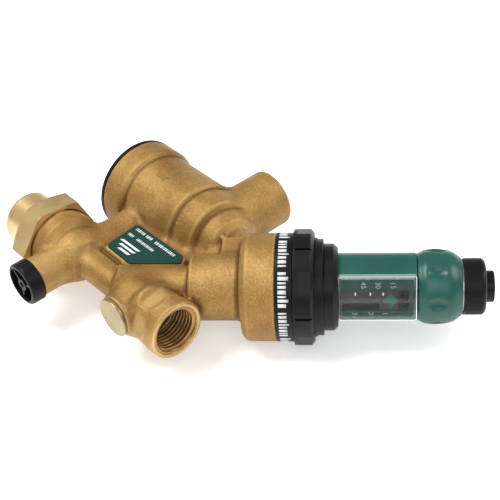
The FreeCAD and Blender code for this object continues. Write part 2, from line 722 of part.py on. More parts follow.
os.makedirs("parts", exist_ok=True)
for piece in PIECES:
    shape = piece()
    shape.translate(V(PIPE_LEAD - OUTLET_X, 0, 0))
    solids = len(shape.Solids)
    print(f"{piece.__name__:24s} solids {solids} volume {shape.Volume:10.1f} valid {shape.isValid()}")
    shape.exportStep(f"parts/{piece.__name__}.step")
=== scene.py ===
import json
import math

import bpy
import numpy as np
from mathutils import Matrix, Vector


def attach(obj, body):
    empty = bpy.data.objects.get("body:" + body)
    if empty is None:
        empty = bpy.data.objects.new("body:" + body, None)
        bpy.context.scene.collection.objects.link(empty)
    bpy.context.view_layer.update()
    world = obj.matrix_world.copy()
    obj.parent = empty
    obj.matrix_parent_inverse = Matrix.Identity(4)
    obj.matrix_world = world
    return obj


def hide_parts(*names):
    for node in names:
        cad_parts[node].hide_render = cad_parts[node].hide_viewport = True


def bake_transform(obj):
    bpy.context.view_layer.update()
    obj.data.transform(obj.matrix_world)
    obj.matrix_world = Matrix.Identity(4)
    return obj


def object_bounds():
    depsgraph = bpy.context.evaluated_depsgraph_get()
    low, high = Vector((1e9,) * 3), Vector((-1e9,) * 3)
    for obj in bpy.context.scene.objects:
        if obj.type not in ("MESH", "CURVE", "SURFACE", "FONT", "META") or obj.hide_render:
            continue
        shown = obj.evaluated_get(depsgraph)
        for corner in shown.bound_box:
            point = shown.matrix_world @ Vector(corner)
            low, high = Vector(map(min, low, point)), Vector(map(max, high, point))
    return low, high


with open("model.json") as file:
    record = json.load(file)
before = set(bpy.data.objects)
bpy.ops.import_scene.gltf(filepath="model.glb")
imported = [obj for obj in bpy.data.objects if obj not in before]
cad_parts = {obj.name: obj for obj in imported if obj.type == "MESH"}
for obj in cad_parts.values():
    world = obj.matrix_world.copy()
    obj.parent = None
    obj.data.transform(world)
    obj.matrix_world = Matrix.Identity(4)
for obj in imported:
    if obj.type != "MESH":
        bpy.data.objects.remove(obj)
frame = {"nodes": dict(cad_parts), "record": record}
CAD_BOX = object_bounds()
NODES = frame["nodes"]

# Sizes are in millimetres about the crossing of the run and the regulator axis, as the
# part is laid out; rows() moves points to the row frame, in metres.
ORIGIN = np.array((36.6, 0.0, 0.0))
UP = np.array((0.0, 0.0, 1.0))
HALF = math.sqrt(0.5)
RUN = (np.array((0.0, 0, 0)), np.array((1.0, 0, 0)))
BARREL = (np.array((0.0, 51.15, 0)), np.array((1.0, 0, 0)))
VENT = (np.array((-1.4, 51.15, 0)), np.array((0.0, 1.0, 0)))
STRAINER = (np.array((-32.2, 0, 0)), np.array((0.0, -1.0, 0)))
LEG = (np.array((-32.2, 0, 0)), np.array((0.0, 1.0, 0)))
PLUG = (np.array((13.0, 0, 0)), np.array((0.0, -1.0, 0)))
REGULATOR = (np.array((0.0, 0, 0)), np.array((HALF, HALF, 0)))

OUTLET_X = 38.1            # mouth of the outlet, along the run
VENT_MOUTH = 36.45         # mouth of the vent, from the barrel's axis
THREAD_LEAD = 0.35         # plain part of a port in front of its thread
PIPE_PITCH, PIPE_CREST, PIPE_ROOT = 1.814, 9.16, 10.45
UNION_PITCH, UNION_CREST, UNION_ROOT = 1.5, 15.0, 14.25
BAND_RADIUS = 22.8
BARREL_RADIUS = 20.35
CAST_MARK_ANGLE = 1.74     # where the raised marks stand, round the barrel
LABEL_TOP = 8.02
TUBE_RADIUS = 14.3
WINDOW_FLAT = 11.6         # height of the flat under the lens, from the tube's axis
SLOT_AT = 1.9              # the slot's offset towards the window's lower edge
POINTER_AT = 113.2
GRIP_AT, GRIP_COUNT, GRIP_TURN = 132.3, 7, 13.8
GRIP_CENTRE = 18.64        # distance of a grip's axis from the knob's
SPRING_FOOT, SPRING_HEAD = 71.55, 107.45
STEM_LIFT = 1.8            # how far the stem and the carrier squeeze the range spring
CARRIER_DROP = 15.0


def rows(points):
    return (np.asarray(points, float) - ORIGIN) * 0.001


def on_axis(axis, s, x, y):
    """A point at distance s along the axis, x sideways and y up."""
    start, along = axis
    side = np.cross(UP, along)
    s, x, y = np.broadcast_arrays(s, x, y)
    return start + s[..., None] * along + x[..., None] * side + y[..., None] * UP


# --- Meshes ------------------------------------------------------------------------------

def make(name, points, faces, body, stands_for=(), materials=(), indices=None, smooth=True):
    mesh = bpy.data.meshes.new(name)
    mesh.from_pydata([tuple(p) for p in rows(points)], [], faces)
    for material in materials:
        mesh.materials.append(material)
    if indices is not None:
        mesh.polygons.foreach_set("material_index", np.asarray(indices, np.int32))
    mesh.polygons.foreach_set("use_smooth", [smooth] * len(mesh.polygons))
    mesh.update()
    piece = bpy.data.objects.new(name, mesh)
    bpy.context.scene.collection.objects.link(piece)
    if body:
        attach(piece, body)
    if stands_for:
        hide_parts(*stands_for)
    return piece


def sheet_faces(rows_, columns, wrap_rows, wrap_columns, offset=0):
    """Quads of a grid of points numbered row by row."""
    faces = []
    for i in range(rows_ if wrap_rows else rows_ - 1):
        for j in range(columns if wrap_columns else columns - 1):
            a = i * columns + j
            b = i * columns + (j + 1) % columns
            c = ((i + 1) % rows_) * columns + (j + 1) % columns
            d = ((i + 1) % rows_) * columns + j
            faces.append((a + offset, b + offset, c + offset, d + offset))
    return faces


def rounded(profile, steps=4):
    """Corners with a third number are rounded to that radius."""
    out = []
    n = len(profile)
    for i, corner in enumerate(profile):
        here = np.array(corner[:2], float)
        if len(corner) < 3:
            out.append(here)
            continue
        back = np.array(profile[i - 1][:2], float) - here
        ahead = np.array(profile[(i + 1) % n][:2], float) - here
        back, ahead = back / np.linalg.norm(back), ahead / np.linalg.norm(ahead)
        half = math.acos(max(-1.0, min(1.0, float(back @ ahead)))) / 2
        middle = back + ahead
        middle /= np.linalg.norm(middle)
        centre = here + middle * corner[2] / math.sin(half)
        first = here + back * corner[2] / math.tan(half) - centre
        last = here + ahead * corner[2] / math.tan(half) - centre
        for k in range(steps + 1):
            t = k / steps
            mix = first * (1 - t) + last * t
            out.append(centre + mix * corner[2] / np.linalg.norm(mix))
    return np.array(out)


# --- Smooth casting: a field of signed distances, then a skin of quads ------------------------

def distance_table(profile, step=0.2, margin=5.0):
    """Signed distance in the plane of a turned shape; negative inside."""
    points = rounded(profile, 3)
    s0, s1 = points[:, 0].min() - margin, points[:, 0].max() + margin
    r1 = points[:, 1].max() + margin
    s = np.arange(s0, s1 + step, step)[:, None]
    r = np.arange(0, r1 + step, step)[None, :]
    best = np.full((s.size, r.size), 1e9)
    inside = np.zeros((s.size, r.size), bool)
    for a, b in zip(points, np.roll(points, -1, 0)):
        edge = b - a
        if edge @ edge < 1e-12:
            continue
        if not (a[1] < 1e-6 and b[1] < 1e-6):
            t = np.clip(((s - a[0]) * edge[0] + (r - a[1]) * edge[1]) / (edge @ edge), 0, 1)
            best = np.minimum(best, (s - a[0] - t * edge[0]) ** 2 + (r - a[1] - t * edge[1]) ** 2)
        if a[1] != b[1]:
            crosses = (a[1] > r) != (b[1] > r)
            where = a[0] + (r - a[1]) * edge[0] / edge[1]
            inside ^= crosses & (s < where)
    table = np.sqrt(best)
    table[inside] *= -1
    return s0, step, table


class Field:
    def __init__(self, low, high, step):
        self.low, self.step = np.array(low, float), step
        self.counts = np.ceil((np.array(high, float) - low) / step).astype(int) + 1
        self.values = np.full(self.counts, 4.0, np.float32)
        self.ticks = [self.low[a] + step * np.arange(self.counts[a]) for a in range(3)]

    def part(self, low, high):
        cut = []
        for a in range(3):
            i = max(0, int((low[a] - self.low[a]) / self.step))
            j = min(self.counts[a], int((high[a] - self.low[a]) / self.step) + 2)
            cut.append(slice(i, j))
        x = self.ticks[0][cut[0]][:, None, None]
        y = self.ticks[1][cut[1]][None, :, None]
        z = self.ticks[2][cut[2]][None, None, :]
        return tuple(cut), x, y, z

    def add(self, cut, other, blend):
        here = self.values[cut]
        h = np.maximum(blend - np.abs(here - other), 0) / blend
        self.values[cut] = np.minimum(here, other) - h * h * blend / 4

    def take(self, cut, other, blend):
        here = self.values[cut]
        other = -other
        h = np.maximum(blend - np.abs(here - other), 0) / blend
        self.values[cut] = np.maximum(here, other) + h * h * blend / 4

    def turned(self, profile, axis, blend, cutter=False):
        s0, step, table = distance_table(profile)
        start, along = axis
        length, width = table.shape[0] * step, table.shape[1] * step
        side = np.array((-along[1], along[0], 0))
        ends = [start + along * s + side * w for s in (s0, s0 + length) for w in (-width, width)]
        low, high = np.min(ends, 0), np.max(ends, 0)
        low[2], high[2] = -width, width
        cut, x, y, z = self.part(low, high)
        s = (x - start[0]) * along[0] + (y - start[1]) * along[1]
        w = (x - start[0]) * side[0] + (y - start[1]) * side[1]
        r = np.sqrt(w * w + z * z)
        fs, fr = (s - s0) / step, r / step
        fs = np.broadcast_to(fs, r.shape)
        valid = (fs >= 0) & (fs < table.shape[0] - 1) & (fr < table.shape[1] - 1)
        i = np.clip(fs.astype(int), 0, table.shape[0] - 2)
        j = np.clip(fr.astype(int), 0, table.shape[1] - 2)
        u, v = fs - i, fr - j
        d = (table[i, j] * (1 - u) * (1 - v) + table[i + 1, j] * u * (1 - v)
             + table[i, j + 1] * (1 - u) * v + table[i + 1, j + 1] * u * v)
        d = np.where(valid, d, 5.0).astype(np.float32)
        (self.take if cutter else self.add)(cut, d, blend)

    def slab(self, corners, z0, z1, blend, grow=0.0):
        """A convex outline, anticlockwise, between two heights, grown by a round margin."""
        points = np.array(corners, float)
        low = [points[:, 0].min() - 5, points[:, 1].min() - 5, z0 - 5]
        high = [points[:, 0].max() + 5, points[:, 1].max() + 5, z1 + 5]
        cut, x, y, z = self.part(low, high)
        flat = None
        for a, b in zip(points, np.roll(points, -1, 0)):
            edge = (b - a) / np.linalg.norm(b - a)
            d = (x - a[0]) * edge[1] - (y - a[1]) * edge[0]
            flat = d if flat is None else np.maximum(flat, d)
        rise = np.maximum(z - z1, z0 - z)
        inner = np.minimum(np.maximum(flat, rise), 0)
        d = inner + np.sqrt(np.maximum(flat, 0) ** 2 + np.maximum(rise, 0) ** 2)
        self.add(cut, d.astype(np.float32) - np.float32(grow), blend)

    def skin(self):
        """One point in each cell that the surface crosses, joined into quads."""
        d = self.values
        inside = d < 0
        cells = tuple(n - 1 for n in d.shape)
        count = np.zeros(cells, np.int8)
        for a in (0, 1):
            for b in (0, 1):
                for c in (0, 1):
                    count += inside[a:cells[0] + a, b:cells[1] + b, c:cells[2] + c]
        active = (count > 0) & (count < 8)
        index = np.full(cells, -1, np.int64)
        at = np.argwhere(active)
        index[active] = np.arange(len(at))
        total, hits = np.zeros((len(at), 3)), np.zeros(len(at))
        for axis in range(3):
            others = [a for a in range(3) if a != axis]
            for p in (0, 1):
                for q in (0, 1):
                    offset = np.zeros(3, int)
                    offset[others[0]], offset[others[1]] = p, q
                    one = at + offset
                    two = one.copy()
                    two[:, axis] += 1
                    a, b = d[tuple(one.T)], d[tuple(two.T)]
                    crossed = (a < 0) != (b < 0)
                    place = offset + np.zeros((len(at), 3))
                    place[:, axis] += np.where(crossed, a / np.where(a == b, 1, a - b), 0)
                    total[crossed] += place[crossed]
                    hits[crossed] += 1
        points = self.low + (at + total / hits[:, None]) * self.step
        quads = []
        for axis in range(3):
            b, c = [(1, 2), (2, 0), (0, 1)][axis]
            ahead = [slice(None)] * 3
            ahead[axis] = slice(1, None)
            behind = [slice(None)] * 3
            behind[axis] = slice(None, -1)
            change = inside[tuple(behind)] != inside[tuple(ahead)]
            edge = np.argwhere(change)
            edge = edge[(edge[:, b] > 0) & (edge[:, c] > 0)]
            edge = edge[(edge[:, b] < cells[b]) & (edge[:, c] < cells[c])]
            ring = []
            for p, q in ((1, 1), (0, 1), (0, 0), (1, 0)):
                cell = edge.copy()
                cell[:, b] -= p
                cell[:, c] -= q
                ring.append(index[tuple(cell.T)])
            ring = np.stack(ring, 1)
            outward = inside[tuple(edge.T)]
            ring[outward] = ring[outward][:, ::-1]
            quads.append(ring)
        return points, np.concatenate(quads)

    def sample(self, points):
        f = (points - self.low) / self.step
        i = np.clip(f.astype(int), 0, self.counts - 2)
        t = f - i
        out = 0
        for a in (0, 1):
            for b in (0, 1):
                for c in (0, 1):
                    w = (t[:, 0] if a else 1 - t[:, 0]) * (t[:, 1] if b else 1 - t[:, 1])
                    w = w * (t[:, 2] if c else 1 - t[:, 2])
                    out = out + w * self.values[i[:, 0] + a, i[:, 1] + b, i[:, 2] + c]
        return out


def end_cut(s, reach, sign=1):
    return [(s, 0), (s, reach), (s + sign * 4, reach), (s + sign * 4, 0)]


LABEL = [(-19.6, 7.8), (-2.2, 7.4), (13.2, 22.8), (10.6, 26.4), (-21.5, 26.4)]
REG_SIDE = (np.array((41 * HALF, 41 * HALF, 0)), np.array((-HALF, HALF, 0)))


def casting_field(step):
    f = Field((-56, -27, -26), (76, 91, 26), step)
    f.turned([(2.0, 0), (2.4, 11.8, 7.0), (18.0, 11.8, 1.2), (20.6, 12.9, 1.2), (39.6, 12.9),
              (39.6, 0)], RUN, 0.5)
    cut, x, y, z = f.part((20, -18, -18), (35, 18, 18))
    flats = None
    for k in range(6):
        a = math.radians(99 + 60 * k)
        d = y * math.cos(a) + z * math.sin(a) - 11.6
        flats = d if flats is None else np.maximum(flats, d)
    ends = 0.5 * np.maximum(np.abs(x - 27.0) - 3.0, 0)
    f.take(cut, (ends - flats).astype(np.float32), 0.12)
    f.turned([(-50.2, 0), (-50.2, 14.2), (-44.3, 14.2), (-44.3, 15.7, 0.5), (-38.2, 15.7, 3.0),
              (-33.4, 12.6, 1.5), (-29.0, 12.2, 1.8), (-25.2, 9.8, 2.0), (-24.4, 0)], RUN, 2.0)
    f.turned([(-28, 0), (-28, 6.6), (8, 6.6), (8, 0)], RUN, 4.0)
    f.turned([(0, 0), (0, 9.2), (12.6, 9.2, 0.8), (12.6, 0)], PLUG, 3.0)
    f.turned([(0, 0), (0, 8.7), (24.4, 8.7), (24.4, 0)], STRAINER, 4.0)
    f.turned([(0, 0), (0, 7.2), (41, 7.2), (41, 0)], LEG, 4.0)
    f.turned([(-53.7, 0), (-53.7, 22.3), (-41.4, 22.3, 1.6), (-39.0, 20.4, 1.6), (-8.5, 20.4, 1.6),
              (-7.1, 18.7, 1.2), (3.9, 18.0, 1.6), (5.3, 14.6, 1.2), (15.5, 13.4, 7.0), (15.5, 0)],
             BARREL, 3.0)
    f.turned([(0, 0), (0, 13.2), (37.9, 13.2), (37.9, 0)], VENT, 3.5)
    f.slab([(-30, 4), (3, 4), (33, 34), (18, 48), (-30, 48)], -3.5, 3.5, 4.0)
    f.turned([(0, 0), (0, 9.0), (32, 9.0), (32, 0)], REGULATOR, 4.0)
    f.turned([(0, 0), (0, 5.8), (26, 5.8), (26, 0)], REG_SIDE, 3.0)
    f.turned([(30, 0), (30, 14.0, 1.4), (51.2, 14.0, 2.0), (52.2, 20.6, 1.6), (54.5, 22.7, 1.8),
              (66.4, 22.7, 0.4), (66.4, 22.05), (73.6, 22.05), (73.6, 21.2), (80.4, 21.2),
              (80.4, 0)], REGULATOR, 2.5)
    along, across = np.array((HALF, HALF)), np.array((-HALF, HALF))
    box = [(43.4, 0), (52, 0), (52, 20.8), (43.4, 20.8)]
    corners = [along * s + across * t for s, t in box]
    f.slab(corners, -8.8, 8.8, 2.0, grow=1.2)
    f.slab(LABEL, 0, 6.0, 1.6, grow=0.9)
    cast_skin = f.values.copy()
    cuts = [
        ([(-55, 0), (-55, 11.6), (-42.5, 11.6, 1.0), (-40.0, 8.6, 1.0), (-28.0, 8.6, 3.0),
          (-28.0, 0)], RUN),
        ([(0, 0), (0, 7.3), (27, 7.3), (27, 0)], STRAINER),
        ([(0, 0), (0, 5.0), (10, 5.0), (10, 4.3), (39, 4.3), (39, 0)], LEG),
        ([(-56, 0), (-56, 19.2), (-45.8, 19.2), (-45.8, 17.0), (-38.0, 17.0), (-37.0, 17.9),
          (-27.0, 17.9), (-26.0, 17.0), (-9.5, 17.0), (-9.5, 15.0), (2.8, 15.0), (2.8, 10.5),
          (11.0, 10.5), (11.0, 9.0), (13.6, 9.0, 1.5), (13.6, 0)], BARREL),
        ([(0, 0), (0, 8.6), (23, 8.6), (23, 10.75), (40, 10.75), (40, 0)], VENT),
        ([(6.0, 0), (6.0, 8.6, 3.0), (24.6, 8.6), (24.6, 10.75), (41, 10.75), (41, 0)], RUN),
        ([(0, 0), (0, 6.3), (12.6, 6.3), (12.6, 8.9), (17, 8.9), (17, 0)], PLUG),
        ([(9, 0), (9, 7.0), (32.0, 7.0), (32.0, 10.05), (37.5, 10.05), (38.2, 11.6), (43.8, 11.6),
          (44.5, 10.05), (57.5, 10.05), (57.5, 17.5, 1.5), (70, 17.5), (70, 19.35), (83, 19.35),
          (83, 0)], REGULATOR),
        ([(9, 0), (9, 3.3), (25, 3.3), (25, 0)], REG_SIDE),
        (end_cut(OUTLET_X, 17), RUN), (end_cut(VENT_MOUTH, 17), VENT), (end_cut(22.9, 12), STRAINER),
        (end_cut(-52.2, 25, -1), BARREL), (end_cut(79.0, 25), REGULATOR),
    ]
    for profile, axis in cuts:
        f.turned(profile, axis, 0.6, cutter=True)
    return f, cast_skin


def thread_turn(axis, start, end, pitch, crest, root, back, around=96, per_turn=14):
    """A ring with one helical thread; back is the radius of its plain side."""
    inward = back > crest
    length = abs(end - start)
    count = int(length / pitch * per_turn)
    angle = np.linspace(0, 2 * math.pi, around, endpoint=False)[:, None]
    s = np.linspace(start, end, count)[None, :]
    u = (s / pitch - angle / (2 * math.pi)) % 1.0
    depth = np.clip((0.5 - np.abs(u - 0.5) - 0.13) / 0.28, 0, 1)
    fade = np.clip(np.minimum(np.abs(s - start), np.abs(s - end)) / (0.5 * pitch), 0, 1)
    r = crest + (root - crest) * (depth * fade + (1 - fade) * (0.9 if inward else 1.0))
    s = np.broadcast_to(s, r.shape)
    r = np.concatenate([r, np.full((around, 2), back)], 1)
    s = np.concatenate([s, np.full((around, 1), end), np.full((around, 1), start)], 1)
    points = on_axis(axis, s, r * np.cos(angle), r * np.sin(angle))
    faces = sheet_faces(around, count + 2, True, True)
    if (end < start) == inward:
        faces = [q[::-1] for q in faces]
    return points.reshape(-1, 3), faces


# --- Materials -----------------------------------------------------------------------------

class Paint:
    """Node material with a few helpers. Positions are in metres, in the row frame."""

    def __init__(self, name, color, metallic, roughness):
        self.material = bpy.data.materials.new(name)
        self.material.use_nodes = True
        self.tree = self.material.node_tree
        self.shader = self.tree.nodes["Principled BSDF"]
        self.shader.inputs["Base Color"].default_value = (*color, 1)
        self.shader.inputs["Metallic"].default_value = metallic
        self.shader.inputs["Roughness"].default_value = roughness
        self.place = self.tree.nodes.new("ShaderNodeTexCoord").outputs["Object"]
        self.normal = None

    def node(self, kind, **values):
        made = self.tree.nodes.new(kind)
        for key, value in values.items():
            key = key.replace("_", " ")
            if key in made.inputs:
                made.inputs[key].default_value = value
            else:
                setattr(made, key.replace(" ", "_"), value)
        return made

    def link(self, out, to):
        self.tree.links.new(out, to)

    def noise(self, scale, detail=3.0, roughness=0.55, stretch=None):
        made = self.node("ShaderNodeTexNoise", Scale=scale, Detail=detail, Roughness=roughness)
        place = self.place
        if stretch:
            mapping = self.node("ShaderNodeMapping")
            mapping.inputs["Rotation"].default_value = stretch[1]
            mapping.inputs["Scale"].default_value = stretch[0]
            self.link(place, mapping.inputs["Vector"])
            place = mapping.outputs["Vector"]
        self.link(place, made.inputs["Vector"])
        return made.outputs["Fac"]

    def ramp(self, value, stops):
        made = self.node("ShaderNodeValToRGB")
        band = made.color_ramp
        while len(band.elements) < len(stops):
            band.elements.new(0.5)
        for element, (at, color) in zip(band.elements, stops):
            element.position = at
            element.color = (*color, 1) if len(color) == 3 else color
        self.link(value, made.inputs["Fac"])
        return made.outputs["Color"]

    def mix(self, factor, a, b, mode="MIX"):
        made = self.tree.nodes.new("ShaderNodeMix")
        made.data_type = "RGBA"
        made.blend_type = mode
        for socket, value in ((made.inputs[0], factor), (made.inputs[6], a), (made.inputs[7], b)):
            if isinstance(value, bpy.types.NodeSocket):
                self.link(value, socket)
            elif isinstance(value, tuple):
                socket.default_value = (*value, 1)
            else:
                socket.default_value = value
        return made.outputs[2]

    def rough(self, value, low, high):
        made = self.node("ShaderNodeMapRange")
        made.inputs["To Min"].default_value = low
        made.inputs["To Max"].default_value = high
        self.link(value, made.inputs["Value"])
        self.link(made.outputs["Result"], self.shader.inputs["Roughness"])

    def color(self, out):
        self.link(out, self.shader.inputs["Base Color"])

    def bump(self, height, distance, strength=1.0):
        made = self.node("ShaderNodeBump", Strength=strength, Distance=distance)
        self.link(height, made.inputs["Height"])
        if self.normal:
            self.link(self.normal, made.inputs["Normal"])
        self.normal = made.outputs["Normal"]
        self.link(self.normal, self.shader.inputs["Normal"])


def cast_bronze():
    p = Paint("cast_bronze", (0.4, 0.24, 0.085), 0.5, 0.5)
    broad = p.ramp(p.noise(45, 4), [(0.3, (0.22, 0.112, 0.024)), (0.5, (0.33, 0.188, 0.046)),
                                    (0.72, (0.44, 0.272, 0.084))])
    fine = p.noise(1500, 4, 0.7)
    speckle = p.ramp(fine, [(0.35, (0.70, 0.66, 0.60)), (0.55, (1, 1, 1)), (0.75, (1.5, 1.45, 1.35))])
    tinted = p.mix(1.0, broad, speckle, "MULTIPLY")
    # Painted shade: concave places, found from the casting's curvature, are darkened towards deep
    # brown.
    hollow_shade = p.node("ShaderNodeAttribute", attribute_name="hollow_shade").outputs["Fac"]
    # Convex edges, found from the curvature, are made lighter towards a pale golden brown.
    edge_lighter = p.node("ShaderNodeAttribute", attribute_name="edge_lighter").outputs["Fac"]
    shade_painted = p.mix(hollow_shade, tinted, (0.125, 0.046, 0.009))
    p.color(p.mix(edge_lighter, shade_painted, (0.56, 0.38, 0.15)))
    p.rough(fine, 0.36, 0.66)
    p.bump(p.noise(120, 3), 0.0010, 0.5)
    p.bump(fine, 0.00024, 0.75)
    pits = p.node("ShaderNodeTexVoronoi", Scale=420.0)
    p.link(p.place, pits.inputs["Vector"])
    p.bump(p.ramp(pits.outputs["Distance"], [(0.0, (0, 0, 0)), (0.22, (1, 1, 1))]), 0.00012, 0.5)
    return p.material


def machined(name, color, turn=None):
    """Turned brass: fine lines across the axis and slight tarnish."""
    p = Paint(name, color, 0.72, 0.3)
    tarnish = p.noise(70, 4)
    low = tuple(0.72 * c for c in color)
    p.color(p.ramp(tarnish, [(0.35, low), (0.6, color)]))
    lines = p.noise(60, 2, 0.6, turn or ((60, 1, 1), (0, 0, 0)))
    p.rough(lines, 0.22, 0.40)
    p.bump(lines, 0.00004, 0.6)
    p.bump(p.noise(1500, 2), 0.00003, 0.35)
    return p.material


def plastic(name, color, roughness, grain=1400, relief=0.00003, varied=0.85, gloss=0.5):
    p = Paint(name, color, 0.0, roughness)
    p.shader.inputs["Specular IOR Level"].default_value = gloss
    low = tuple(varied * c for c in color)
    p.color(p.ramp(p.noise(90, 3), [(0.35, low), (0.65, color)]))
    fine = p.noise(grain, 3)
    p.rough(fine, roughness - 0.06, roughness + 0.08)
    p.bump(fine, relief, 0.5)
    return p.material


def clear(name, haze_and_edge_sheen):
    """Clear plastic with a pale diffuse skin mixed in by the given share: a faint milkiness on the
    lens faces, and on the edge walls a painted sheen that stands in for their bright edges.
    """
    material = bpy.data.materials.new(name)
    material.use_nodes = True
    tree = material.node_tree
    tree.nodes.clear()
    out = tree.nodes.new("ShaderNodeOutputMaterial")
    through = tree.nodes.new("ShaderNodeBsdfTransparent")
    through.inputs["Color"].default_value = (0.93, 0.975, 0.965, 1)
    gloss = tree.nodes.new("ShaderNodeBsdfGlossy")
    gloss.inputs["Roughness"].default_value = 0.06
    gloss.inputs["Color"].default_value = (1, 1, 1, 1)
    place = tree.nodes.new("ShaderNodeTexCoord")
    noise = tree.nodes.new("ShaderNodeTexNoise")
    noise.inputs["Scale"].default_value = 160
    bump = tree.nodes.new("ShaderNodeBump")
    bump.inputs["Distance"].default_value = 0.00005
    bump.inputs["Strength"].default_value = 0.35
    facing = tree.nodes.new("ShaderNodeFresnel")
    facing.inputs["IOR"].default_value = 1.49
    mix = tree.nodes.new("ShaderNodeMixShader")
    tree.links.new(place.outputs["Object"], noise.inputs["Vector"])
    tree.links.new(noise.outputs["Fac"], bump.inputs["Height"])
    tree.links.new(bump.outputs["Normal"], gloss.inputs["Normal"])
    tree.links.new(facing.outputs["Fac"], mix.inputs["Fac"])
    tree.links.new(through.outputs["BSDF"], mix.inputs[1])
    tree.links.new(gloss.outputs["BSDF"], mix.inputs[2])
    dull = tree.nodes.new("ShaderNodeBsdfDiffuse")
    dull.inputs["Color"].default_value = (0.62, 0.75, 0.72, 1)
    cover = tree.nodes.new("ShaderNodeMixShader")
    cover.inputs["Fac"].default_value = haze_and_edge_sheen
    tree.links.new(mix.outputs["Shader"], cover.inputs[1])
    tree.links.new(dull.outputs["BSDF"], cover.inputs[2])
    tree.links.new(cover.outputs["Shader"], out.inputs["Surface"])
    return material


PAINTS = {
    "cast_bronze": cast_bronze(),
    "bright_brass": machined("bright_brass", (0.70, 0.50, 0.235)),
    "stainless": machined("stainless", (0.62, 0.62, 0.60)),
    "spring_steel": machined("spring_steel", (0.42, 0.42, 0.43)),
    "rubber": plastic("rubber", (0.022, 0.022, 0.024), 0.6),
    "gasket_fibre": plastic("gasket_fibre", (0.33, 0.10, 0.07), 0.75, 700, 0.00006),
    "black_plastic": plastic("black_plastic", (0.0055, 0.0055, 0.006), 0.36, gloss=0.16),
    "grey_plastic": plastic("grey_plastic", (0.30, 0.31, 0.32), 0.45),
    "white_plastic": plastic("white_plastic", (0.78, 0.77, 0.72), 0.42),
    "green_plastic": plastic("green_plastic", (0.012, 0.082, 0.062), 0.30, 1400, 0.000008,
                              gloss=0.34),
    "pointer_green": plastic("pointer_green", (0.045, 0.20, 0.145), 0.4),
    "label_green": plastic("label_green", (0.005, 0.040, 0.028), 0.34, gloss=0.3),
    "label_black": plastic("label_black", (0.005, 0.005, 0.006), 0.36, gloss=0.16),
    "clear_plastic": clear("clear_plastic", 0.008),
}
# The lens walls take a larger share of the pale skin: painted sheen for the bright edges of the clear
# lens.
CLEAR_EDGE_SHEEN = clear("clear_edge_sheen", 0.26)
PRINT_WHITE = plastic("print_white", (0.70, 0.73, 0.74), 0.5)
MAROON = plastic("dark_maroon", (0.080, 0.022, 0.028), 0.34)
THREAD_BRASS = machined("thread_brass", (0.40, 0.225, 0.075))
CUT_BRASS = machined("cut_brass", (0.50, 0.345, 0.135))
# Painted shade: a darker copy of the bright brass for the side plug, which faces the key light and
# would read brighter than the rest.
SHADED_PLUG_BRASS = machined("plug_brass_shaded", (0.40, 0.315, 0.165))

for row in frame["record"]["subparts"]:
    node = NODES[row["node"]]
    node.data.materials.clear()
    node.data.materials.append(PAINTS[row["material_slot"]])


# --- Pieces --------------------------------------------------------------------------------

def build_casting():
    step = 0.62
    field, cast_skin = casting_field(step)
    points, quads = field.skin()
    centres = points[quads].mean(1)
    after = field.values
    field.values = cast_skin
    bare = field.sample(centres) < -0.22
    field.values = after
    reach = 1.3
    bend = -6 * field.sample(points)
    for a in range(3):
        for sign in (-1, 1):
            offset = np.zeros(3)
            offset[a] = sign * reach
            bend = bend + field.sample(points + offset)
    bend = bend / reach ** 2
    faces = [tuple(int(i) for i in q) for q in quads]
    index = bare.astype(int)
    pieces = [thread_turn(RUN, OUTLET_X - THREAD_LEAD, 24.4, PIPE_PITCH, PIPE_CREST, PIPE_ROOT,
                          10.95),
              thread_turn(VENT, VENT_MOUTH - THREAD_LEAD, 22.8, PIPE_PITCH, PIPE_CREST,
                          PIPE_ROOT, 11.1),
              thread_turn(RUN, -50.0, -44.6, UNION_PITCH, UNION_CREST, UNION_ROOT, 13.6)]
    for extra, extra_faces in pieces:
        shift = len(points)
        points = np.concatenate([points, extra])
        bend = np.concatenate([bend, np.zeros(len(extra))])
        faces += [tuple(i + shift for i in q) for q in extra_faces]
        index = np.concatenate([index, np.full(len(extra_faces), 2)])
    for k in range(9):
        s0 = -31.0 + 1.5 * (k % 5) + 0.4 * (k // 5)
        a0 = CAST_MARK_ANGLE + 0.075 * (k // 5)
        extra, extra_faces = curved_bar(BARREL, BARREL_RADIUS, 0.3, s0, s0 + 0.8, a0, a0 + 0.045)
        shift = len(points)
        points = np.concatenate([points, extra])
        bend = np.concatenate([bend, np.full(len(extra), 0.4)])
        faces += [tuple(i + shift for i in q) for q in extra_faces]
        index = np.concatenate([index, np.zeros(len(extra_faces), int)])
    piece = make("casting", points, faces, "body", ["valve_body"],
                 [PAINTS["cast_bronze"], CUT_BRASS, THREAD_BRASS], index)
    # Point masks from curvature: painted shade in concave places, and a lighter tone on convex edges.
    for name, values in (("hollow_shade", np.clip(-bend * 2.8 - 0.12, 0, 0.85)),
                         ("edge_lighter", np.clip(bend * 0.9 - 0.25, 0, 0.35))):
        layer = piece.data.attributes.new(name, "FLOAT", "POINT")
        layer.data.foreach_set("value", values.astype(np.float32))
    return piece


def merge(parts):
    """Several (points, faces) lists as one."""
    points, faces, shift = [], [], 0
    for p, q in parts:
        points.append(np.asarray(p, float))
        faces += [tuple(i + shift for i in f) for f in q]
        shift += len(p)
    return np.concatenate(points), faces


